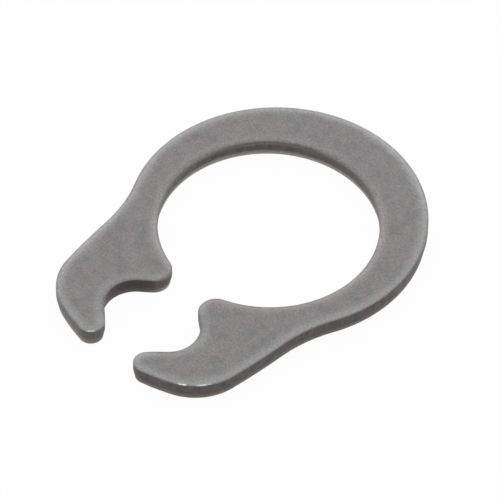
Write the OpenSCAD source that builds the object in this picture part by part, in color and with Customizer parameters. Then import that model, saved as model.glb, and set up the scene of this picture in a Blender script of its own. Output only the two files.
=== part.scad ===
// Retaining ring that snaps into the groove of a shaft, stamped from one sheet of spring steel.
// It lies flat with its rolled edges up. The origin is the bore's centre on the lower face,
// Z is the shaft's axis, and the gap between the two lugs faces -Y.
// The outline is one closed chain of arcs, and each arc runs on smoothly from the one before.

/* [Ring] */
// Bore of the free ring, before pliers open it
bore_d = 11; // [9:0.5:13]
// Thickness of the sheet
sheet_t = 1; // [0.8:0.1:1.5]
// Width of the band opposite the gap
band_back = 2.65; // [2.2:0.05:3.1]
// Width of the band at its sides, where it has begun to taper
band_side = 1.95; // [1.6:0.05:2.3]

/* [Lugs] */
// Gap between the two lugs
gap_w = 2.4; // [1.8:0.1:3.2]
// How far the lugs reach past the bore
lug_reach = 5.95; // [4.9:0.05:7]
// How far a lug's outer side stands out past the bore's radius, level with the nose
lug_stand = 0.4; // [0.1:0.05:0.7]
// Lean of a lug's outer side towards the gap, level with the nose, in degrees
lug_lean = 4.9; // [3:0.1:8]
// Slope of a lug's lower edge where it meets the tip, in degrees
lug_slope = 12.5; // [8:0.5:18]
// Hollow between the band and a lug, radius
neck_r = 7.8; // [6:0.1:10]
// Slight bulge of a lug's outer side, radius
side_r = 40; // [25:1:80]
// Shoulder between a lug's outer side and its lower edge, radius
shoulder_r = 3.05; // [2.5:0.05:3.6]
// Bulge of a lug's lower edge, radius
low_r = 12; // [9:0.5:20]
// Tip at the far end of a lug, radius
tip_r = 0.7; // [0.6:0.05:0.85]
// Nose between the plier notch and the bore, radius
nose_r = 0.9; // [0.7:0.05:1.1]

/* [Plier notches] */
// Depth of a notch, from the gap into the lug
notch_depth = 1.45; // [1.2:0.05:1.7]
// Length of the flank that a notch leaves between itself and the nose
flank_len = 0.7; // [0.4:0.05:1]
// Slight bulge of the flanks on both sides of a notch, radius
flank_r = 12; // [8:0.5:20]

/* [Stamped edge] */
// Width of the edges that the die rolled over, all round the upper face
roll_w = 0.5; // [0.3:0.01:0.6]
// How deep the rolled edges drop before the wall begins
roll_drop = 0.16; // [0.12:0.01:0.3]
// Radius of the heel, where a rolled edge turns down into the wall
heel_r = 0.08; // [0.05:0.01:0.1]
// Share of the thickness, from below, where the sheet broke out instead of being sheared
breakout_share = 0.5; // [0.3:0.05:0.6]
// How far the broken-out wall leans in by the lower face
breakout_in = 0.08; // [0.02:0.01:0.12]
// Chamfer that tumbling left on the lower edge
burr_break = 0.05; // [0.03:0.01:0.08]

/* [Hidden] */
$fn = 120;
bore_r = bore_d / 2;
// A rolled edge is a broad arc that runs smoothly into the heel
roll_r = (pow(roll_w - heel_r, 2) + pow(roll_drop, 2) - pow(heel_r, 2)) / (2 * (roll_drop - heel_r));
// The rolled edge is carried by a strip along the outline, with a flat part beside the roll.
// The core overlaps half of the flat part, and the sectors that cut the strips reach past it
strip_flat = 0.06;
strip_w = roll_w + strip_flat;
core_inset = roll_w + strip_flat / 2;
cut_reach = strip_w + strip_flat / 6;
// Steps in degrees in which the core's hidden edge and a sector's far side follow an arc
core_step = 5;
sector_step = 30;
// How many times its strip's radius the far side of a sector stands out
sector_spare = 1.2;
// Grid of a notch's radius and of the round part of a shift
fine_grid = 0.01;

// An arc is [centre, radius, sense]: sense 1 bulges out of the metal, -1 is hollow
BULGE = 1;
HOLLOW = -1;

function unit(v) = v / norm(v);
function facing(a) = [cos(a), sin(a)];
function flipped(p) = [-p[0], p[1]];

// Where two circles cross, to the left (hand 1) or right (hand -1) of the line between them
function crossing(c1, r1, c2, r2, hand) =
    let (apart = norm(c2 - c1), u = (c2 - c1) / apart,
         along = (r1 * r1 - r2 * r2 + apart * apart) / (2 * apart),
         aside = sqrt(max(0, r1 * r1 - along * along)))
    c1 + along * u + hand * aside * [-u[1], u[0]];

// How far apart the centres of touching arcs are
function apart(arc, r, sense) = arc[2] == sense ? abs(arc[1] - r) : arc[1] + r;

// The arc of radius r that runs smoothly between two others
function blend(a, b, r, sense, hand) =
    [crossing(a[0], apart(a, r, sense), b[0], apart(b, r, sense), hand), r, sense];

// The point where two touching arcs meet
function meeting(a, b) =
    a[2] != b[2] || a[1] > b[1] ? a[0] + a[1] * unit(b[0] - a[0]) : b[0] + b[1] * unit(a[0] - b[0]);

// Arcs of the outline, from the back of the band round the right lug to the bore
bore = [[0, 0], bore_r, HOLLOW];
outer = [[0, band_back - band_side], bore_r + band_side, BULGE];
nose_x = gap_w / 2 + nose_r;
nose = [[nose_x, -sqrt(pow(bore_r + nose_r, 2) - nose_x * nose_x)], nose_r, BULGE];
side = [[bore_r + lug_stand, nose[0][1]] - side_r * facing(-lug_lean), side_r, BULGE];
neck = blend(outer, side, neck_r, HOLLOW, 1);
tip = [[gap_w / 2 + tip_r, tip_r - bore_r - lug_reach], tip_r, BULGE];
low = [tip[0] - (low_r - tip_r) * facing(lug_slope - 90), low_r, BULGE];
shoulder = blend(side, low, shoulder_r, BULGE, -1);

// A notch lies midway between tip and nose, and is as large as its depth and flanks let it be
half_mouth = (nose[0][1] - tip[0][1]) / 2;
notch_room = (pow(notch_depth, 2) + pow(half_mouth, 2) - pow(flank_len, 2)) / (2 * notch_depth)
    - max(nose_r, tip_r);
notch_r = floor(notch_room / fine_grid) * fine_grid;
notch = [[gap_w / 2 + notch_depth - notch_r, tip[0][1] + half_mouth], notch_r, HOLLOW];
low_flank = blend(tip, notch, flank_r, BULGE, -1);
high_flank = blend(notch, nose, flank_r, BULGE, -1);

chain = [outer, neck, side, shoulder, low, tip, low_flank, notch, high_flank, nose, bore];
last = len(chain) - 1;

// A joint is [point, outward direction]. Arcs that meet share one, so their ends match
joints = [for (i = [0:last - 1]) let (p = meeting(chain[i], chain[i + 1]))
    [p, chain[i][2] * unit(p - chain[i][0])]];
function flipped_joint(j) = [flipped(j[0]), flipped(j[1])];
function start_of(i) = i == 0 ? flipped_joint(joints[0]) : joints[i - 1];
function end_of(i) = i == last ? flipped_joint(joints[last - 1]) : joints[i];

function bearing(arc, p) = atan2(p[1] - arc[0][1], p[0] - arc[0][0]);

// Angle that arc i turns through: bulges run clockwise and hollows the other way
function sweep_of(i) =
    let (s = chain[i][2], turn = s * (bearing(chain[i], start_of(i)[0]) - bearing(chain[i], end_of(i)[0])))
    -s * ((turn + 360) % 360);

// Points at radius r from the centre of arc i, at the given shares of its sweep
function along_arc(i, r, shares) =
    let (a = bearing(chain[i], start_of(i)[0]), sweep = sweep_of(i))
    [for (k = shares) chain[i][0] + r * facing(a + k * sweep)];

// Sector that holds the strip of arc i and ends square to the outline at both joints
function sector(i) =
    let (arc = chain[i], from = start_of(i), to = end_of(i), out = arc[2] * cut_reach,
         steps = ceil(abs(sweep_of(i)) / sector_step))
    concat([from[0] - out * from[1], from[0] + out * from[1]],
           along_arc(i, sector_spare * (arc[1] + cut_reach), [for (k = [0:steps]) k / steps]),
           [to[0] + out * to[1], to[0] - out * to[1]]);

// Points of the core's outline along arc i, inside the strip
function core_points(i) =
    let (steps = ceil(abs(sweep_of(i)) / core_step))
    along_arc(i, chain[i][1] - chain[i][2] * core_inset, [for (k = [0:steps - 1]) (k + 0.5) / steps]);

right_lug = [for (i = [1:last - 1]) each core_points(i)];
left_lug = [for (k = [len(right_lug) - 1:-1:0]) flipped(right_lug[k])];

// Moves in two steps, a round one and the small rest, which keeps the arcs tangent in exact numbers
module shift(v) {
    round_v = [for (x = v) round(x / fine_grid) * fine_grid];
    translate(round_v) translate(v - round_v) children();
}

// Section through the edge, with the outline at x = 0 and the metal on the left
module edge_section() {
    breakout_h = breakout_share * sheet_t;
    heel_start = unit([roll_w - heel_r, roll_r - roll_drop]);
    heel_reach = 2 * roll_drop;
    difference() {
        polygon([[-strip_w, 0], [-breakout_in - burr_break, 0], [-breakout_in, burr_break],
                 [0, breakout_h], [0, sheet_t], [-strip_w, sheet_t]]);
        translate([-roll_w, sheet_t - roll_r]) difference() {
            square(2 * roll_r);
            circle(roll_r);
        }
        translate([-heel_r, sheet_t - roll_drop]) difference() {
            polygon([[0, 0], [heel_reach, 0], [heel_reach, heel_reach], heel_reach * heel_start]);
            circle(heel_r);
        }
    }
}

// Edge strip along arc i, turned about the arc's own centre
module edge_strip(i) {
    arc = chain[i];
    intersection() {
        shift(arc[0]) rotate_extrude() translate([arc[1], 0])
            mirror([arc[2] == HOLLOW ? 1 : 0, 0]) edge_section();
        translate([0, 0, -sheet_t]) linear_extrude(3 * sheet_t) polygon(sector(i));
    }
}

module lug_edges() {
    for (i = [1:last - 1]) edge_strip(i);
}

module core() {
    linear_extrude(sheet_t) polygon(concat(core_points(0), right_lug, core_points(last), left_lug));
}

module retaining_ring() {
    color([0.5, 0.5, 0.51]) union() {
        core();
        edge_strip(0);
        edge_strip(last);
        lug_edges();
        mirror([1, 0, 0]) lug_edges();
    }
}

retaining_ring();
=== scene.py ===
import cmath
from collections import namedtuple
from math import asin, cos, pi, radians, sin, sqrt, tau

import bmesh
import bpy
from mathutils import Matrix, Vector, noise


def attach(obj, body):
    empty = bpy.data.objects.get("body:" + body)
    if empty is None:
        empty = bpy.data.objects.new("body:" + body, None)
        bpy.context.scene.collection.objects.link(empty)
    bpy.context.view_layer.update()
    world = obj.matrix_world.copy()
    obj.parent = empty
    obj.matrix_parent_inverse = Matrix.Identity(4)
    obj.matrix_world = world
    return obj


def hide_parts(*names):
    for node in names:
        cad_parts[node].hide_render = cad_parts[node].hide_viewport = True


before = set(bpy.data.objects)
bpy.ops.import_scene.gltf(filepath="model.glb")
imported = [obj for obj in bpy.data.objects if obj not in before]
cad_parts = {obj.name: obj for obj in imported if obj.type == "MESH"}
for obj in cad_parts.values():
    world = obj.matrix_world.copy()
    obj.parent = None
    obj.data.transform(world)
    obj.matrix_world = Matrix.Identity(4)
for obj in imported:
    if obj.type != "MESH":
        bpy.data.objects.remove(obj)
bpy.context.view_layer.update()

# The ring is drawn in millimetres and scaled to metres when it is done. Points of its outline
# are complex numbers, x + yj, and the outline is one chain of arcs that run on smoothly.
MM = 0.001

# Ring
BORE_R = 5.5
SHEET_T = 1.0
BAND_BACK = 2.65
BAND_SIDE = 1.95

# Lugs
GAP_W = 2.4
LUG_REACH = 5.95
LUG_STAND = 0.4
LUG_LEAN = radians(4.9)
LUG_SLOPE = radians(12.5)
NECK_R = 7.8
SIDE_R = 40.0
SHOULDER_R = 3.05
LOW_R = 12.0
TIP_R = 0.7
NOSE_R = 0.9

# Plier notches
NOTCH_DEPTH = 1.45
NOTCH_R = 1.56
FLANK_R = 12.0

# Stamped edge
ROLL_W = 0.5
ROLL_DROP = 0.16
HEEL_R = 0.08
LAND_H = 0.34
BREAKOUT_IN = 0.08
BURR_BREAK = 0.05

# An arc bulges out of the metal or is hollow
BULGE, HOLLOW = 1, -1
Arc = namedtuple("Arc", "centre radius sense")


def unit(v):
    return v / abs(v)


def facing(angle):
    """The direction of that angle, as a step of length 1."""
    return cmath.rect(1, angle)


def mirrored(p):
    """The same place on the left half."""
    return complex(-p.real, p.imag)


def crossing(c1, r1, c2, r2, hand):
    """Where two circles cross, to the left (hand 1) or right (hand -1) of the line between them."""
    apart = abs(c2 - c1)
    along = (r1 * r1 - r2 * r2 + apart * apart) / (2 * apart)
    aside = sqrt(r1 * r1 - along * along)
    return c1 + (along + hand * aside * 1j) * unit(c2 - c1)


def centre_distance(arc, radius, sense):
    """How far apart the centres of two touching arcs are."""
    return abs(arc.radius - radius) if arc.sense == sense else arc.radius + radius


def blend(a, b, radius, sense, hand):
    """The arc that runs smoothly between two others."""
    reach = [centre_distance(arc, radius, sense) for arc in (a, b)]
    return Arc(crossing(a.centre, reach[0], b.centre, reach[1], hand), radius, sense)


def meeting(a, b):
    """The point where two touching arcs meet."""
    if a.sense != b.sense or a.radius > b.radius:
        return a.centre + a.radius * unit(b.centre - a.centre)
    return b.centre + b.radius * unit(a.centre - b.centre)


def outline():
    """Arcs from the back of the band round the right lug and along the bore, to the back again."""
    bore = Arc(0j, BORE_R, HOLLOW)
    outer = Arc((BAND_BACK - BAND_SIDE) * 1j, BORE_R + BAND_SIDE, BULGE)
    nose_x = GAP_W / 2 + NOSE_R
    nose = Arc(complex(nose_x, -sqrt((BORE_R + NOSE_R) ** 2 - nose_x ** 2)), NOSE_R, BULGE)
    side_point = complex(BORE_R + LUG_STAND, nose.centre.imag)
    side = Arc(side_point - SIDE_R * facing(-LUG_LEAN), SIDE_R, BULGE)
    neck = blend(outer, side, NECK_R, HOLLOW, 1)
    tip = Arc(complex(GAP_W / 2 + TIP_R, TIP_R - BORE_R - LUG_REACH), TIP_R, BULGE)
    low = Arc(tip.centre - (LOW_R - TIP_R) * facing(LUG_SLOPE - pi / 2), LOW_R, BULGE)
    shoulder = blend(side, low, SHOULDER_R, BULGE, -1)
    notch_y = (nose.centre.imag + tip.centre.imag) / 2
    notch = Arc(complex(GAP_W / 2 + NOTCH_DEPTH - NOTCH_R, notch_y), NOTCH_R, HOLLOW)
    low_flank = blend(tip, notch, FLANK_R, BULGE, -1)
    high_flank = blend(notch, nose, FLANK_R, BULGE, -1)
    return [outer, neck, side, shoulder, low, tip, low_flank, notch, high_flank, nose, bore]


# Places of a lug's shoulder, its tip, its notch and its nose in the outline
SHOULDER, TIP, NOTCH, NOSE = 3, 5, 7, 9


def stretches(arcs):
    """Each arc with the angle it turns through: bulges turn clockwise and hollows the other way."""
    joints = [meeting(a, b) for a, b in zip(arcs, arcs[1:])]
    ends = [arcs[0].centre + arcs[0].radius * 1j, *joints, BORE_R * 1j]
    turns = []
    for arc, start, end in zip(arcs, ends, ends[1:]):
        turn = cmath.phase((end - arc.centre) / (start - arc.centre))
        if arc.sense * turn > 0:
            turn -= arc.sense * tau
        turns.append((arc, turn))
    return turns


# How the edge is divided: pieces across the roll, round its heel, down the land and so on
ROLL_STEPS = 8
HEEL_STEPS = 6
LAND_STEPS = 4
BREAKOUT_STEPS = 8
BURR_STEPS = 3
# Width of the strip that is spun along the outline, and of the support row beside a bend
STRIP_W = 0.68
SUPPORT_W = 0.05
# Points closer than this are one
MERGE_W = SUPPORT_W / 100
# Pieces along each arc of the outline. The arcs before the tip and those after it come to the
# same sum, shared out so that the faces' cuts run fairly straight across the metal
ARC_STEPS = (131, 40, 74, 32, 13, 24, 16, 43, 11, 30, 190)
CROSS_CUTS = 7

# The roll is a broad arc that runs smoothly into its heel, where it tilts by ROLL_TILT
ROLL_R = ((ROLL_W - HEEL_R) ** 2 + ROLL_DROP ** 2 - HEEL_R ** 2) / (2 * (ROLL_DROP - HEEL_R))
ROLL_TILT = asin((ROLL_W - HEEL_R) / (ROLL_R - HEEL_R))

# Distance along the section from where the roll begins to where each zone of the edge ends
LAND_END = SHEET_T - ROLL_DROP - LAND_H
ROLL_RUN = ROLL_R * ROLL_TILT
HEEL_RUN = ROLL_RUN + HEEL_R * (pi / 2 - ROLL_TILT)
LAND_RUN = HEEL_RUN + LAND_H
BREAKOUT_RUN = LAND_RUN + abs(complex(BREAKOUT_IN, LAND_END - BURR_BREAK))
BURR_RUN = BREAKOUT_RUN + BURR_BREAK * pi / 2


def edge_section():
    """Points (outwards, up, run) of the edge from the upper face to the lower one, where run is
    the distance along the section from where the roll begins."""
    points = [(-STRIP_W, SHEET_T), (-ROLL_W - SUPPORT_W, SHEET_T)]
    for k in range(ROLL_STEPS + 1):
        a = ROLL_TILT * k / ROLL_STEPS
        points.append((ROLL_R * sin(a) - ROLL_W, SHEET_T + ROLL_R * (cos(a) - 1)))
    for k in range(1, HEEL_STEPS + 1):
        a = ROLL_TILT + (pi / 2 - ROLL_TILT) * k / HEEL_STEPS
        points.append((HEEL_R * (sin(a) - 1), SHEET_T - ROLL_DROP + HEEL_R * cos(a)))
    for k in range(1, LAND_STEPS + 1):
        points.append((0, SHEET_T - ROLL_DROP - LAND_H * k / LAND_STEPS))
    for k in range(1, BREAKOUT_STEPS + 1):
        part = k / BREAKOUT_STEPS
        points.append((-BREAKOUT_IN * part, LAND_END + (BURR_BREAK - LAND_END) * part))
    for k in range(1, BURR_STEPS + 1):
        a = pi / 2 * k / BURR_STEPS
        points.append((-BREAKOUT_IN - BURR_BREAK * (1 - cos(a)), BURR_BREAK * (1 - sin(a))))
    points += [(-BREAKOUT_IN - BURR_BREAK - SUPPORT_W, 0), (-STRIP_W, 0)]
    runs = [ROLL_W - STRIP_W]
    for (x0, z0), (x1, z1) in zip(points, points[1:]):
        runs.append(runs[-1] + abs(complex(x1 - x0, z1 - z0)))
    return [(x, z, run) for (x, z), run in zip(points, runs)]


def spin_stretches(bm, section, turns, counts):
    """Spins the section round each arc's centre. Returns where it ends up, and the two rails that
    its first and last points draw on the upper and the lower face."""
    run = bm.verts.layers.float["run"]
    ends = [v[run] for v in section if isinstance(v, bmesh.types.BMVert)]
    first = len(bm.edges)
    for (arc, turn), steps in zip(turns, counts):
        centre = (arc.centre.real, arc.centre.imag, 0)
        spun = bmesh.ops.spin(bm, geom=section, cent=centre, axis=(0, 0, 1), angle=turn, steps=steps)
        section = spun["geom_last"]
    bm.edges.ensure_lookup_table()
    drawn = bm.edges[first:]
    rails = [[e for e in drawn if all(v[run] == end for v in e.verts)]
             for end in (min(ends), max(ends))]
    return section, rails


def half_ring(bm):
    """The right half: its edge is spun along the outline, and its faces are bridged across. The
    small round end that the strip leaves inside the tip is filled by itself."""
    run = bm.verts.layers.float.new("run")
    turns = stretches(outline())
    back = turns[0][0].centre.imag + turns[0][0].radius
    points = []
    for out, z, distance in edge_section():
        points.append(bm.verts.new((0, back + out, z)))
        points[-1][run] = distance
    section = points + [bm.edges.new(pair) for pair in zip(points, points[1:])]

    section, outer_rails = spin_stretches(bm, section, turns[:TIP], ARC_STEPS[:TIP])
    section, tip_rails = spin_stretches(bm, section, turns[TIP:TIP + 1], ARC_STEPS[TIP:TIP + 1])
    section, inner_rails = spin_stretches(bm, section, turns[TIP + 1:], ARC_STEPS[TIP + 1:])
    for outer, inner, cap in zip(outer_rails, inner_rails, tip_rails):
        across = bmesh.ops.bridge_loops(bm, edges=outer + inner)["edges"]
        tip_ends = {v for e in cap for v in e.verts if sum(f in cap for f in v.link_edges) == 1}
        closing = [e for e in across if set(e.verts) == tip_ends]
        end_face = bmesh.ops.edgeloop_fill(bm, edges=cap + closing)["faces"]
        bmesh.ops.subdivide_edges(bm, edges=across, cuts=CROSS_CUTS)
        bmesh.ops.triangulate(bm, faces=end_face, ngon_method="BEAUTY")


# The roll's depth along the bore and outside it, as shares of ROLL_DROP. Both punches stood a
# little off centre, so where an edge faces the way of PUNCH_TURN the depth changes by that share
BORE_ROLL = 1.0
BORE_CHANGE = 0.25
OUTSIDE_ROLL = 0.45
OUTSIDE_CHANGE = -0.3
PUNCH_TURN = radians(-48)


def deepen_roll(bm):
    """Makes the roll deep along the bore and shallow on the outside, and uneven round both."""
    run = bm.verts.layers.float["run"]
    punch_shift = Vector((cos(PUNCH_TURN), sin(PUNCH_TURN)))
    for v in bm.verts:
        past_roll = abs(complex(v.co.x, v.co.y)) - BORE_R - ROLL_W
        outside = min(max(past_roll / (BAND_SIDE - 2 * ROLL_W), 0), 1)
        faces_shift = v.normal.xy.normalized().dot(punch_shift)
        bore_depth = BORE_ROLL + BORE_CHANGE * faces_shift
        outside_depth = OUTSIDE_ROLL + OUTSIDE_CHANGE * faces_shift
        depth = bore_depth + (outside_depth - bore_depth) * outside
        if 0 < v[run] < HEEL_RUN:
            v.co.z = SHEET_T - depth * (SHEET_T - v.co.z)
        elif HEEL_RUN < v[run] < LAND_RUN:
            v.co.z += ROLL_DROP * (1 - depth) * (v.co.z - LAND_END) / LAND_H
    bm.normal_update()


# What the stamping and tumbling left, in millimetres: how far the line between the sheared land
# and the broken-out wall wanders, how deep the broken wall is torn, how uneven the faces are
WANDER = 0.07
WANDER_SIZE = 1.1
TEAR = 0.022
TEAR_SIZE = 0.16
DENT = 0.012
DENT_SIZE = 0.7
FACE_WAVE = 0.004
FACE_WAVE_SIZE = 1.6
# How far apart the marks are taken from the noise, so that no two of them follow each other
NOISE_STEP = 17


def swell(value, low, top, high):
    """0 at low and high, and 1 at top, with straight slopes."""
    if value <= low or value >= high:
        return 0
    return (value - low) / (top - low) if value < top else (high - value) / (high - top)


def ripple(point, size, layer):
    """Smooth noise from 0 to 1 whose lumps measure about size. Each kind of mark has its layer."""
    return 0.5 + 0.5 * noise.noise(Vector((0, 0, NOISE_STEP * layer)) + point / size)


def roughen(bm):
    """Gives the edges the marks of the stamping. Every point moves into the metal or along the
    wall, so the ring stays within its sizes."""
    run = bm.verts.layers.float["run"]
    moves = []
    for v in bm.verts:
        inwards = -Vector((v.normal.x, v.normal.y, 0)).normalized()
        flat = Vector((v.co.x, v.co.y, 0))
        move = Vector()
        if HEEL_RUN < v[run] < BREAKOUT_RUN:
            wander = 2 * ripple(flat, WANDER_SIZE, layer=1) - 1
            move.z += WANDER * wander * swell(v[run], HEEL_RUN, LAND_RUN, BREAKOUT_RUN)
            torn = swell(v[run], LAND_RUN, (LAND_RUN + BREAKOUT_RUN) / 2, BREAKOUT_RUN + BURR_BREAK)
            move += inwards * TEAR * ripple(v.co, TEAR_SIZE, layer=2) * torn
        elif 0 < v[run] <= HEEL_RUN:
            dent = max(0, 2 * ripple(flat, DENT_SIZE, layer=3) - 1)
            move -= v.normal * DENT * dent * swell(v[run], 0, ROLL_RUN, HEEL_RUN)
        elif v[run] <= 0:
            move.z -= FACE_WAVE * ripple(flat, FACE_WAVE_SIZE, layer=4)
        moves.append(move)
    for v, move in zip(bm.verts, moves):
        v.co += move


# Places of the materials on the ring
FACE_SLOT, LAND_SLOT, TORN_SLOT = 0, 1, 2


def slot_at(distance):
    """The material at that distance along the section. The lower face is like the upper one."""
    if distance <= HEEL_RUN or distance > BURR_RUN:
        return FACE_SLOT
    return LAND_SLOT if distance <= LAND_RUN else TORN_SLOT


def retaining_ring():
    """The whole ring in metres. On its lower face run is counted back from the burr, below 0."""
    bm = bmesh.new()
    half_ring(bm)
    whole = bm.verts[:] + bm.edges[:] + bm.faces[:]
    bmesh.ops.mirror(bm, geom=whole, matrix=Matrix(), axis="X", merge_dist=MERGE_W)
    bmesh.ops.remove_doubles(bm, verts=bm.verts, dist=MERGE_W)
    bmesh.ops.recalc_face_normals(bm, faces=bm.faces)
    deepen_roll(bm)
    roughen(bm)
    bmesh.ops.scale(bm, vec=(MM, MM, MM), verts=bm.verts)
    run = bm.verts.layers.float["run"]
    for face in bm.faces:
        face.smooth = True
        face.material_index = slot_at(sum(v[run] for v in face.verts) / len(face.verts))
    for v in bm.verts:
        if v[run] > BURR_RUN:
            v[run] = BURR_RUN - v[run]
    mesh = bpy.data.meshes.new("ring")
    bm.to_mesh(mesh)
    bm.free()
    ring = bpy.data.objects.new("ring", mesh)
    bpy.context.scene.collection.objects.link(ring)
    return ring


def add(tree, kind, inputs=None, **settings):
    """A shader node with its settings, whose inputs are set to values or linked to sockets."""
    node = tree.nodes.new("ShaderNode" + kind)
    for name, value in settings.items():
        setattr(node, name, value)
    for name, value in (inputs or {}).items():
        if isinstance(value, bpy.types.NodeSocket):
            tree.links.new(value, node.inputs[name])
        else:
            node.inputs[name].default_value = value
    return node


def start_group(name, inputs, outputs):
    """An empty node group with named sockets, its input node and its output node."""
    tree = bpy.data.node_groups.new(name, "ShaderNodeTree")
    for way, sockets in (("INPUT", inputs), ("OUTPUT", outputs)):
        for label, kind in sockets.items():
            tree.interface.new_socket(label, in_out=way, socket_type="NodeSocket" + kind)
    return tree, tree.nodes.new("NodeGroupInput"), tree.nodes.new("NodeGroupOutput")


def use_group(tree, group, **inputs):
    """The group placed in a material with its own values."""
    node = add(tree, "Group", node_tree=group)
    for name, value in inputs.items():
        socket = node.inputs[name.replace("_", " ")]
        if isinstance(value, bpy.types.NodeSocket):
            tree.links.new(value, socket)
        else:
            socket.default_value = value
    return node


def millimetres(tree, stretch=(1, 1, 1), shift=(0, 0, 0)):
    """Object coordinates in millimetres, stretched for a pattern that runs one way."""
    place = add(tree, "TexCoord").outputs["Object"]
    scale = [part / MM for part in stretch]
    return add(tree, "Mapping", {"Vector": place, "Scale": scale, "Location": shift}).outputs["Vector"]


def lumps(tree, where, size, detail=2.0, kind="Fac"):
    """Noise from 0 to 1 whose lumps measure about size, a number or a socket in millimetres."""
    rate = add(tree, "Math", {0: 1.0, 1: size}, operation="DIVIDE").outputs[0]
    return add(tree, "TexNoise", {"Vector": where, "Scale": rate, "Detail": detail}).outputs[kind]


def blend_colours(tree, share, first, second):
    """The first colour at share 0 and the second one at share 1."""
    mix = add(tree, "Mix", data_type="RGBA")
    for place, value in ((0, share), (6, first), (7, second)):
        if isinstance(value, bpy.types.NodeSocket):
            tree.links.new(value, mix.inputs[place])
        else:
            mix.inputs[place].default_value = value
    return mix.outputs[2]


def remap(tree, value, low, high, to_low=0, to_high=1, smooth=True):
    """to_low where the value is at low and to_high where it is at high, with a smooth curve or a
    straight line between them."""
    kind = "SMOOTHSTEP" if smooth else "LINEAR"
    inputs = {"Value": value, "From Min": low, "From Max": high, "To Min": to_low, "To Max": to_high}
    return add(tree, "MapRange", inputs, interpolation_type=kind).outputs["Result"]


def product(tree, *values):
    """All the values multiplied."""
    result = values[0]
    for value in values[1:]:
        result = add(tree, "Math", {0: result, 1: value}, operation="MULTIPLY").outputs[0]
    return result


def shaded(tree, colour, pattern, contrast):
    """A colour that a pattern from 0 to 1 darkens and lightens, by half the contrast each way."""
    centred = add(tree, "Math", {0: pattern, 1: 0.5}, operation="SUBTRACT").outputs[0]
    shade = add(tree, "Math", {0: centred, 1: contrast, 2: 1.0}, operation="MULTIPLY_ADD").outputs[0]
    return add(tree, "VectorMath", {0: colour, "Scale": shade}, operation="SCALE").outputs[0]


# Where each pattern is taken from its noise, in millimetres, so that no two follow each other
WARM_PLACE = (31, 7, 0)
HUE_PLACE = (5, 23, 0)
BLOTCH_PLACE = (3, 11, 0)
KNOCK_GLINT_PLACE = (2, 41, 0)
# Heights of the noise between which patches of blue and of brown steel come up
COOL_RANGE = (0.42, 0.68)
WARM_RANGE = (0.45, 0.7)
# Width of one of the punch's marks as a share of its length down the wall
MARK_STRETCH = 0.12


def skin_group():
    """Uneven grey of hardened and oiled steel: broad patches that lean to blue or to brown."""
    sockets = {"Steel": "Color", "Cool": "Color", "Warm": "Color", "Patch Size": "Float"}
    tree, given, made = start_group("Oiled skin", sockets, {"Colour": "Color"})
    cool_lumps = lumps(tree, millimetres(tree), given.outputs["Patch Size"])
    warm_lumps = lumps(tree, millimetres(tree, shift=WARM_PLACE), given.outputs["Patch Size"])
    cool_patches = remap(tree, cool_lumps, *COOL_RANGE)
    warm_patches = remap(tree, warm_lumps, *WARM_RANGE)
    colour = blend_colours(tree, cool_patches, given.outputs["Steel"], given.outputs["Cool"])
    colour = blend_colours(tree, warm_patches, colour, given.outputs["Warm"])
    tree.links.new(colour, made.inputs["Colour"])
    return tree


def grain_group():
    """Fine matt grain that tumbling leaves: its shade, a faint change of hue, and its height."""
    sockets = {"Colour": "Color", "Grain Size": "Float", "Contrast": "Float",
               "Hue Size": "Float", "Hue Contrast": "Float"}
    tree, given, made = start_group("Tumbled grain", sockets, {"Colour": "Color", "Height": "Float"})
    grain = lumps(tree, millimetres(tree), given.outputs["Grain Size"], detail=4.0)
    hues = lumps(tree, millimetres(tree, shift=HUE_PLACE), given.outputs["Hue Size"], kind="Color")
    hue_contrast = given.outputs["Hue Contrast"]
    off_grey = add(tree, "VectorMath", {0: hues, 1: (0.5, 0.5, 0.5)}, operation="SUBTRACT")
    faint = add(tree, "VectorMath", {0: off_grey.outputs[0], "Scale": hue_contrast}, operation="SCALE")
    tint = add(tree, "VectorMath", {0: faint.outputs[0], 1: (1, 1, 1)}, operation="ADD").outputs[0]
    tinted = add(tree, "VectorMath", {0: given.outputs["Colour"], 1: tint}, operation="MULTIPLY")
    colour = shaded(tree, tinted.outputs[0], grain, given.outputs["Contrast"])
    tree.links.new(colour, made.inputs["Colour"])
    tree.links.new(grain, made.inputs["Height"])
    return tree


def scoring_group():
    """Marks that run down the wall, where the punch slid past the sheet."""
    sockets = {"Colour": "Color", "Mark Width": "Float", "Contrast": "Float"}
    tree, given, made = start_group("Punch scoring", sockets, {"Colour": "Color", "Height": "Float"})
    down_the_wall = millimetres(tree, stretch=(1, 1, MARK_STRETCH))
    marks = lumps(tree, down_the_wall, given.outputs["Mark Width"])
    colour = shaded(tree, given.outputs["Colour"], marks, given.outputs["Contrast"])
    tree.links.new(colour, made.inputs["Colour"])
    tree.links.new(marks, made.inputs["Height"])
    return tree


def grey(level, red=0.0, blue=0.0):
    """A grey of that level, moved a little towards red or blue."""
    return (level * (1 + red), level, level * (1 + blue), 1.0)


# Colours of the face with its patches, the roll with its painted glint on knocked places, the land,
# the torn wall and its foot, the painted light on the left lug's wall, the burr and the oil. The foot
# and the burr are partly painted light
FACE_GREY = grey(0.213, red=0.022, blue=-0.012)
FACE_COOL = grey(0.188, red=0.015, blue=0.012)
FACE_WARM = grey(0.221, red=0.045, blue=-0.035)
BORE_GREY = grey(0.25, red=0.03, blue=-0.04)
RUBBED_GREY = grey(0.29)
KNOCK_GLINT_GREY = grey(0.75, red=0.02, blue=-0.03)
LAND_GREY = grey(0.08, red=0.05, blue=-0.05)
LAND_DARK = grey(0.06, red=0.04, blue=-0.04)
LAND_BROWN = grey(0.085, red=0.4, blue=-0.1)
TORN_GREY = grey(0.065, red=0.06, blue=-0.06)
TORN_DARK = grey(0.045, red=0.04, blue=-0.04)
TORN_BROWN = grey(0.07, red=0.45, blue=-0.15)
FOOT_GREY_AND_LIGHT = grey(0.19, red=0.11, blue=-0.16)
FOOT_BORE_GREY_AND_LIGHT = grey(0.38, red=0.05, blue=-0.08)
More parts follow.
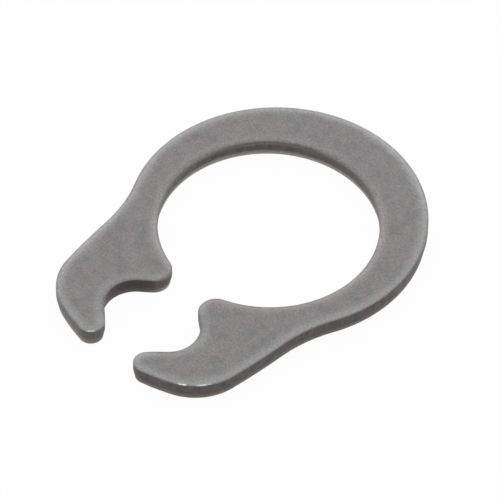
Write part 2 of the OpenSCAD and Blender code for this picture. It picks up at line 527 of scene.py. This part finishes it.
LIT_WALL_BEIGE = grey(0.245, red=0.1, blue=-0.15)
BURR_BEIGE_AND_LIGHT = grey(0.5, red=0.18, blue=-0.28)
OIL_BLACK = grey(0.036, red=0.08, blue=-0.08)
OIL_GREY = grey(0.11, red=0.05, blue=-0.05)


def start_material(name):
    """A new material with its node tree and its shader."""
    material = bpy.data.materials.new(name)
    material.use_nodes = True
    tree = material.node_tree
    return material, tree, tree.nodes["Principled BSDF"]


def finish_surface(tree, shader, colour, height, depth, metallic):
    """Gives the shader its colour, its sheen and bumps that are depth millimetres deep."""
    bump = add(tree, "Bump", {"Height": height, "Distance": depth * MM, "Strength": 1.0})
    tree.links.new(colour, shader.inputs["Base Color"])
    tree.links.new(bump.outputs["Normal"], shader.inputs["Normal"])
    shader.inputs["Metallic"].default_value = metallic


def edge_run(tree):
    """Distance along the edge's section, 0 where the roll begins and below 0 on both faces."""
    return add(tree, "Attribute", attribute_name="run").outputs["Fac"]


def near(tree, spot, reach, most=1):
    """The value most round a spot on the outline, seen from above, that fades to 0 at its reach."""
    flat = millimetres(tree, stretch=(1, 1, 0))
    distance = add(tree, "VectorMath", {0: flat, 1: (spot.real, spot.imag, 0)}, operation="DISTANCE")
    return remap(tree, distance.outputs["Value"], reach / 2, reach, most, 0)


def exposed(tree):
    """1 along the ring's outside, where other rings rub it in the tumbler, and 0 along the bore."""
    outwards = add(tree, "VectorMath", {0: millimetres(tree, stretch=(1, 1, 0))}, operation="LENGTH")
    bore_edge, outer_edge = BORE_R + ROLL_W, BORE_R + BAND_SIDE - ROLL_W
    return remap(tree, outwards.outputs["Value"], bore_edge, outer_edge)


# How far past the plier notches their oil has crept, on the rolled edge and on the wall
OIL_ON_ROLL = 0.5
OIL_ON_WALL = 0.3
# The two notches are one place once x is folded over. The whole ring is moved down by this first,
# so that y, which is folded too, stays as it is
CLEAR_OF_FOLD = 20.0


def oiled(tree, crept):
    """1 at the plier notches, where dark oil has gathered, and 0 where it hasn't crept."""
    notch = outline()[NOTCH].centre
    flat = millimetres(tree, stretch=(1, 1, 0), shift=(0, -CLEAR_OF_FOLD, 0))
    folded = add(tree, "VectorMath", {0: flat}, operation="ABSOLUTE").outputs[0]
    centre = (notch.real, CLEAR_OF_FOLD - notch.imag, 0)
    distance = add(tree, "VectorMath", {0: folded, 1: centre}, operation="DISTANCE")
    return remap(tree, distance.outputs["Value"], NOTCH_R, NOTCH_R + crept, 1, 0)


# Where light is painted on the wall, lightening it: outside the left lug, from its shoulder to its
# tip, the side lit from the left
LIT_WALL_TURN = radians(-135)
LIT_WALL_REACH = 5.0


def left_wall_painted_light(tree, most):
    """The value most on the outside of the left lug, where light is painted on its wall, and 0 away
    from it.
    """
    shoulder = outline()[SHOULDER]
    spot = mirrored(shoulder.centre) + SHOULDER_R * facing(LIT_WALL_TURN)
    return near(tree, spot, LIT_WALL_REACH, most)


# Where the wall has browned most: the nose of the left lug, in blotches
BROWN_TURN = radians(-75)
BROWN_REACH = 1.6
BROWN_MOST = 0.7
BROWN_LEAST = 0.3
BLOTCH_SIZE = 0.3
BLOTCH_RANGE = (0.35, 0.6)


def browned(tree):
    """BROWN_MOST in blotches on the left lug's nose, less between them, and 0 away from it."""
    spot = mirrored(outline()[NOSE].centre) + NOSE_R * facing(BROWN_TURN)
    blotch_lumps = lumps(tree, millimetres(tree, shift=BLOTCH_PLACE), BLOTCH_SIZE)
    blotches = remap(tree, blotch_lumps, *BLOTCH_RANGE, to_low=BROWN_LEAST)
    return product(tree, near(tree, spot, BROWN_REACH, BROWN_MOST), blotches)


# Where the edge has been knocked bright and a glint is painted on it: the shoulder of the right lug
# and the tip of the left one, each on the side that faces the camera
KNOCK_GLINT_TURN = radians(-48)
SHOULDER_KNOCK_GLINT = 1.1
TIP_KNOCK_GLINT = 0.25
KNOCK_GLINT_SIZE = 0.35
KNOCK_GLINT_RANGE = (0.42, 0.66)


def knocked_and_glint(tree, run):
    """1 in small patches of the knocked places, where the roll turns into its heel, and else 0. The
    patches are polished by knocks and carry a painted glint.
    """
    shoulder_spot = outline()[SHOULDER].centre + SHOULDER_R * facing(KNOCK_GLINT_TURN)
    tip_spot = mirrored(outline()[TIP].centre) + TIP_R * facing(KNOCK_GLINT_TURN)
    knocks = {0: near(tree, shoulder_spot, SHOULDER_KNOCK_GLINT), 1: near(tree, tip_spot, TIP_KNOCK_GLINT)}
    spots = add(tree, "Math", knocks, operation="MAXIMUM").outputs[0]
    patch_lumps = lumps(tree, millimetres(tree, shift=KNOCK_GLINT_PLACE), KNOCK_GLINT_SIZE)
    patches = remap(tree, patch_lumps, *KNOCK_GLINT_RANGE)
    up_to_heel = remap(tree, run, ROLL_RUN - HEEL_R, ROLL_RUN)
    round_heel = remap(tree, run, ROLL_RUN, HEEL_RUN, 1, 0)
    return product(tree, spots, patches, up_to_heel, round_heel)


# How far before the heel and past it the roll's grey turns into the land's. Before the heel this
# darkening is painted shade on the roll's steep part
HEEL_SHADE_BEFORE = 0.12
HEEL_SHADE_PAST = 0.11


def heel_shade_to_wall(tree, run):
    """0 on the roll and 1 on the land, darkening over the heel: painted shade where the roll turns
    down, then the land's own grey.
    """
    return remap(tree, run, ROLL_RUN - HEEL_SHADE_BEFORE, HEEL_RUN + HEEL_SHADE_PAST)


def edge_tone(tree):
    """The roll's grey: warm along the bore, bright outside and dull at the plier notches."""
    tone = blend_colours(tree, exposed(tree), BORE_GREY, RUBBED_GREY)
    return blend_colours(tree, oiled(tree, OIL_ON_ROLL), tone, FACE_GREY)


def stained(tree, colour, painted_light_share, brown):
    """The wall's colour with painted light on the left lug's outer side, its brown nose and the oil at
    its notches.
    """
    # Painted light on the outside of the left lug
    colour = blend_colours(tree, left_wall_painted_light(tree, painted_light_share), colour, LIT_WALL_BEIGE)
    colour = blend_colours(tree, browned(tree), colour, brown)
    return blend_colours(tree, oiled(tree, OIL_ON_WALL), colour, OIL_BLACK)


# How far tumbling has rubbed the edges, measured like run, how much further it reaches in some
# places than in others, and how long these places are
RUB_END = 0.6
RUB_WANDER = 0.4
RUB_SIZE = 1.5
# Roughness of the face as it was, and of an edge that is both rubbed and knocked bright
FACE_ROUGHNESS = 0.5
BRIGHT_ROUGHNESS = 0.26


def tumbled_face(skin, grain):
    """The upper and lower face and the rolled edge, which tumbling has rubbed bright."""
    material, tree, shader = start_material("tumbled_face")
    colour = use_group(tree, skin, Steel=FACE_GREY, Cool=FACE_COOL, Warm=FACE_WARM, Patch_Size=0.6)
    run = edge_run(tree)
    wander = lumps(tree, millimetres(tree), RUB_SIZE)
    uneven_run = add(tree, "Math", {0: wander, 1: RUB_WANDER, 2: run}, operation="MULTIPLY_ADD")
    rubbed = remap(tree, uneven_run.outputs[0], 0, RUB_END)
    rubbed_colour = blend_colours(tree, rubbed, colour.outputs["Colour"], edge_tone(tree))
    # Painted shade where the roll turns down over its heel, into the land's dark grey
    edge_colour = blend_colours(tree, heel_shade_to_wall(tree, run), rubbed_colour, LAND_GREY)
    # Painted glints on the knocked places, which knocks have also polished
    bright = knocked_and_glint(tree, run)
    edge_colour = blend_colours(tree, bright, edge_colour, KNOCK_GLINT_GREY)
    fine = use_group(tree, grain, Colour=edge_colour, Grain_Size=0.11, Contrast=0.9,
                     Hue_Size=0.16, Hue_Contrast=0.35)
    finish_surface(tree, shader, fine.outputs["Colour"], fine.outputs["Height"],
                   depth=0.006, metallic=0.65)
    worn = add(tree, "Math", {0: rubbed, 1: bright}, operation="ADD").outputs[0]
    roughness = remap(tree, worn, 0, 2, FACE_ROUGHNESS, BRIGHT_ROUGHNESS, smooth=False)
    tree.links.new(roughness, shader.inputs["Roughness"])
    return material


def sheared_land(skin, scoring, grain):
    """The upper part of the wall, sheared smooth by the punch."""
    material, tree, shader = start_material("sheared_land")
    colour = use_group(tree, skin, Steel=LAND_GREY, Cool=LAND_DARK, Warm=LAND_BROWN, Patch_Size=0.4)
    wall_colour = stained(tree, colour.outputs["Colour"], painted_light_share=0.2, brown=LAND_BROWN)
    # Painted shade over the heel, from the roll's grey into the wall's
    upper_colour = blend_colours(tree, heel_shade_to_wall(tree, edge_run(tree)), edge_tone(tree), wall_colour)
    marks = use_group(tree, scoring, Colour=upper_colour, Mark_Width=0.12, Contrast=0.9)
    fine = use_group(tree, grain, Colour=marks.outputs["Colour"], Grain_Size=0.08, Contrast=0.6,
                     Hue_Size=0.16, Hue_Contrast=0.6)
    finish_surface(tree, shader, fine.outputs["Colour"], marks.outputs["Height"],
                   depth=0.006, metallic=0.5)
    shader.inputs["Roughness"].default_value = 0.5
    return material


def torn_wall(skin, scoring, grain):
    """The lower part of the wall, where the sheet broke out, browner and lighter down to its burr:
    partly the steel's own tone, partly painted light from the floor.
    """
    material, tree, shader = start_material("torn_wall")
    colour = use_group(tree, skin, Steel=TORN_GREY, Cool=TORN_DARK, Warm=TORN_BROWN, Patch_Size=0.4)
    wall_colour = stained(tree, colour.outputs["Colour"], painted_light_share=0.5, brown=TORN_BROWN)
    marks = use_group(tree, scoring, Colour=wall_colour, Mark_Width=0.2, Contrast=0.7)
    # The foot and the burr are lighter and beige: partly the broken-out steel's own tone, partly
    # painted light from the floor where the foot is shaded. Outside the left lug they also take its
    # painted light
    foot_tone_and_light = blend_colours(tree, exposed(tree), FOOT_BORE_GREY_AND_LIGHT, FOOT_GREY_AND_LIGHT)
    foot_tone_and_light = blend_colours(tree, left_wall_painted_light(tree, 1), foot_tone_and_light, LIT_WALL_BEIGE)
    foot_tone_and_light = blend_colours(tree, oiled(tree, OIL_ON_WALL), foot_tone_and_light, OIL_GREY)
    run = edge_run(tree)
    foot = remap(tree, run, LAND_RUN, BREAKOUT_RUN)
    foot_colour = blend_colours(tree, foot, marks.outputs["Colour"], foot_tone_and_light)
    burr = remap(tree, run, BREAKOUT_RUN - BURR_BREAK, BURR_RUN)
    edge_colour = blend_colours(tree, burr, foot_colour, BURR_BEIGE_AND_LIGHT)
    fine = use_group(tree, grain, Colour=edge_colour, Grain_Size=0.07, Contrast=0.8,
                     Hue_Size=0.16, Hue_Contrast=0.6)
    finish_surface(tree, shader, fine.outputs["Colour"], fine.outputs["Height"],
                   depth=0.012, metallic=0.3)
    shader.inputs["Roughness"].default_value = 0.65
    return material


# The camera, fitted to the photograph: where it stands seen from the middle of the ring, how far
# it is rolled, and the width of its sensor and its focal length, both in millimetres
VIEW_AZIMUTH = radians(42.069)
VIEW_ELEVATION = radians(47.836)
VIEW_ROLL = radians(1.0275)
VIEW_DISTANCE = 344.6 * MM
RING_MIDDLE = Vector((-0.047, -1.293, 0)) * MM
SENSOR_W = 36.0
LENS = 501.0


def looking_at_ring(azimuth, elevation, distance, roll=0.0):
    """The place of something that looks at the ring's middle. Azimuth 0 looks along +Y."""
    right = Vector((cos(azimuth), sin(azimuth), 0))
    back = Vector((sin(azimuth) * cos(elevation), -cos(azimuth) * cos(elevation), sin(elevation)))
    up = back.cross(right)
    turned_right = cos(roll) * right + sin(roll) * up
    turned_up = cos(roll) * up - sin(roll) * right
    place = Matrix((turned_right, turned_up, back)).transposed().to_4x4()
    place.translation = RING_MIDDLE + distance * back
    return place


def camera():
    lens = bpy.data.cameras.new("camera")
    lens.sensor_width = SENSOR_W
    lens.lens = LENS
    lens.clip_start = VIEW_DISTANCE / 100
    holder = bpy.data.objects.new("camera", lens)
    bpy.context.scene.collection.objects.link(holder)
    holder.matrix_world = looking_at_ring(VIEW_AZIMUTH, VIEW_ELEVATION, VIEW_DISTANCE, VIEW_ROLL)
    bpy.context.scene.camera = holder


# The floor in metres. Its drop keeps it just clear of the ring's lower face
FLOOR_SIZE = 4.0
FLOOR_DROP = 0.01 * MM
# Share of plain white in what the camera sees of the floor, and how white its lit surface is
BACKDROP_WHITE = 0.97
FLOOR_WHITE = 0.85


def backdrop_share(tree):
    """BACKDROP_WHITE for the camera's own rays and for what gloss and glass would show, else 0."""
    path = add(tree, "LightPath").outputs
    seen = add(tree, "Math", {0: path["Is Camera Ray"], 1: path["Is Glossy Ray"]}, operation="MAXIMUM")
    seen = add(tree, "Math", {0: seen.outputs[0], 1: path["Is Transmission Ray"]}, operation="MAXIMUM")
    return add(tree, "Math", {0: seen.outputs[0], 1: BACKDROP_WHITE}, operation="MULTIPLY").outputs[0]


def floor():
    """A pale floor that carries the ring's shadow."""
    bm = bmesh.new()
    bmesh.ops.create_grid(bm, x_segments=1, y_segments=1, size=FLOOR_SIZE / 2)
    bmesh.ops.translate(bm, vec=(0, 0, -FLOOR_DROP), verts=bm.verts)
    mesh = bpy.data.meshes.new("floor")
    bm.to_mesh(mesh)
    bm.free()
    plane = bpy.data.objects.new("floor", mesh)
    bpy.context.scene.collection.objects.link(plane)

    material = bpy.data.materials.new("pale_floor")
    material.use_nodes = True
    tree = material.node_tree
    tree.nodes.clear()
    card = add(tree, "BsdfDiffuse", {"Color": grey(FLOOR_WHITE)})
    white = add(tree, "Emission", {"Color": grey(1), "Strength": 1.0})
    mix = add(tree, "MixShader", {0: backdrop_share(tree), 1: card.outputs[0], 2: white.outputs[0]})
    add(tree, "OutputMaterial", {"Surface": mix.outputs[0]})
    mesh.materials.append(material)


# Light from all round, and panels of one size at one distance, both in metres. A panel's level is
# how brightly it lights a surface that faces it. Turns start at the camera's side of the ring
WORLD_LIGHT = 0.17
PANEL_SIZE = 0.25
PANEL_DISTANCE = 0.4
# A low tent of panels all round the ring, evenly spaced
TENT_ELEVATION = 20
TENT_LEVELS = (0.12, 0.12, 0.19, 0.135, 0.205, 0.14)
# Higher ones: turn and elevation in degrees, and level
HIGH_PANELS = {
    "far_right": (150, 30, 0.19),
    "far_left": (210, 30, 0.175),
    "side_right": (90, 50, 0.12),
    "side_left": (270, 50, 0.12),
    "overhead": (180, 70, 0.17),
}


def surroundings():
    """An even, dim world behind the panels."""
    world = bpy.data.worlds.new("studio")
    bpy.context.scene.world = world
    world.use_nodes = True
    background = world.node_tree.nodes["Background"]
    background.inputs["Color"].default_value = grey(1)
    background.inputs["Strength"].default_value = WORLD_LIGHT


def panel(name, turn, elevation, level):
    """A square lit panel that faces the ring. Turn and elevation are in degrees."""
    lamp = bpy.data.lights.new(name, "AREA")
    lamp.shape = "SQUARE"
    lamp.size = PANEL_SIZE
    lamp.energy = level * (pi * PANEL_DISTANCE) ** 2
    holder = bpy.data.objects.new(name, lamp)
    bpy.context.scene.collection.objects.link(holder)
    azimuth = VIEW_AZIMUTH + radians(turn)
    holder.matrix_world = looking_at_ring(azimuth, radians(elevation), PANEL_DISTANCE)


def light_tent():
    """The low panels all round and the higher ones."""
    for k, level in enumerate(TENT_LEVELS):
        panel("tent_%d" % k, 360 * k / len(TENT_LEVELS), TENT_ELEVATION, level)
    for name, (turn, elevation, level) in HIGH_PANELS.items():
        panel(name, turn, elevation, level)


def main():
    ring = retaining_ring()
    skin, grain, scoring = skin_group(), grain_group(), scoring_group()
    ring.data.materials.append(tumbled_face(skin, grain))
    ring.data.materials.append(sheared_land(skin, scoring, grain))
    ring.data.materials.append(torn_wall(skin, scoring, grain))
    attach(ring, "root")
    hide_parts("retaining_ring")

    camera()
    floor()
    surroundings()
    light_tent()
    bpy.context.scene.view_settings.view_transform = "Standard"


main()
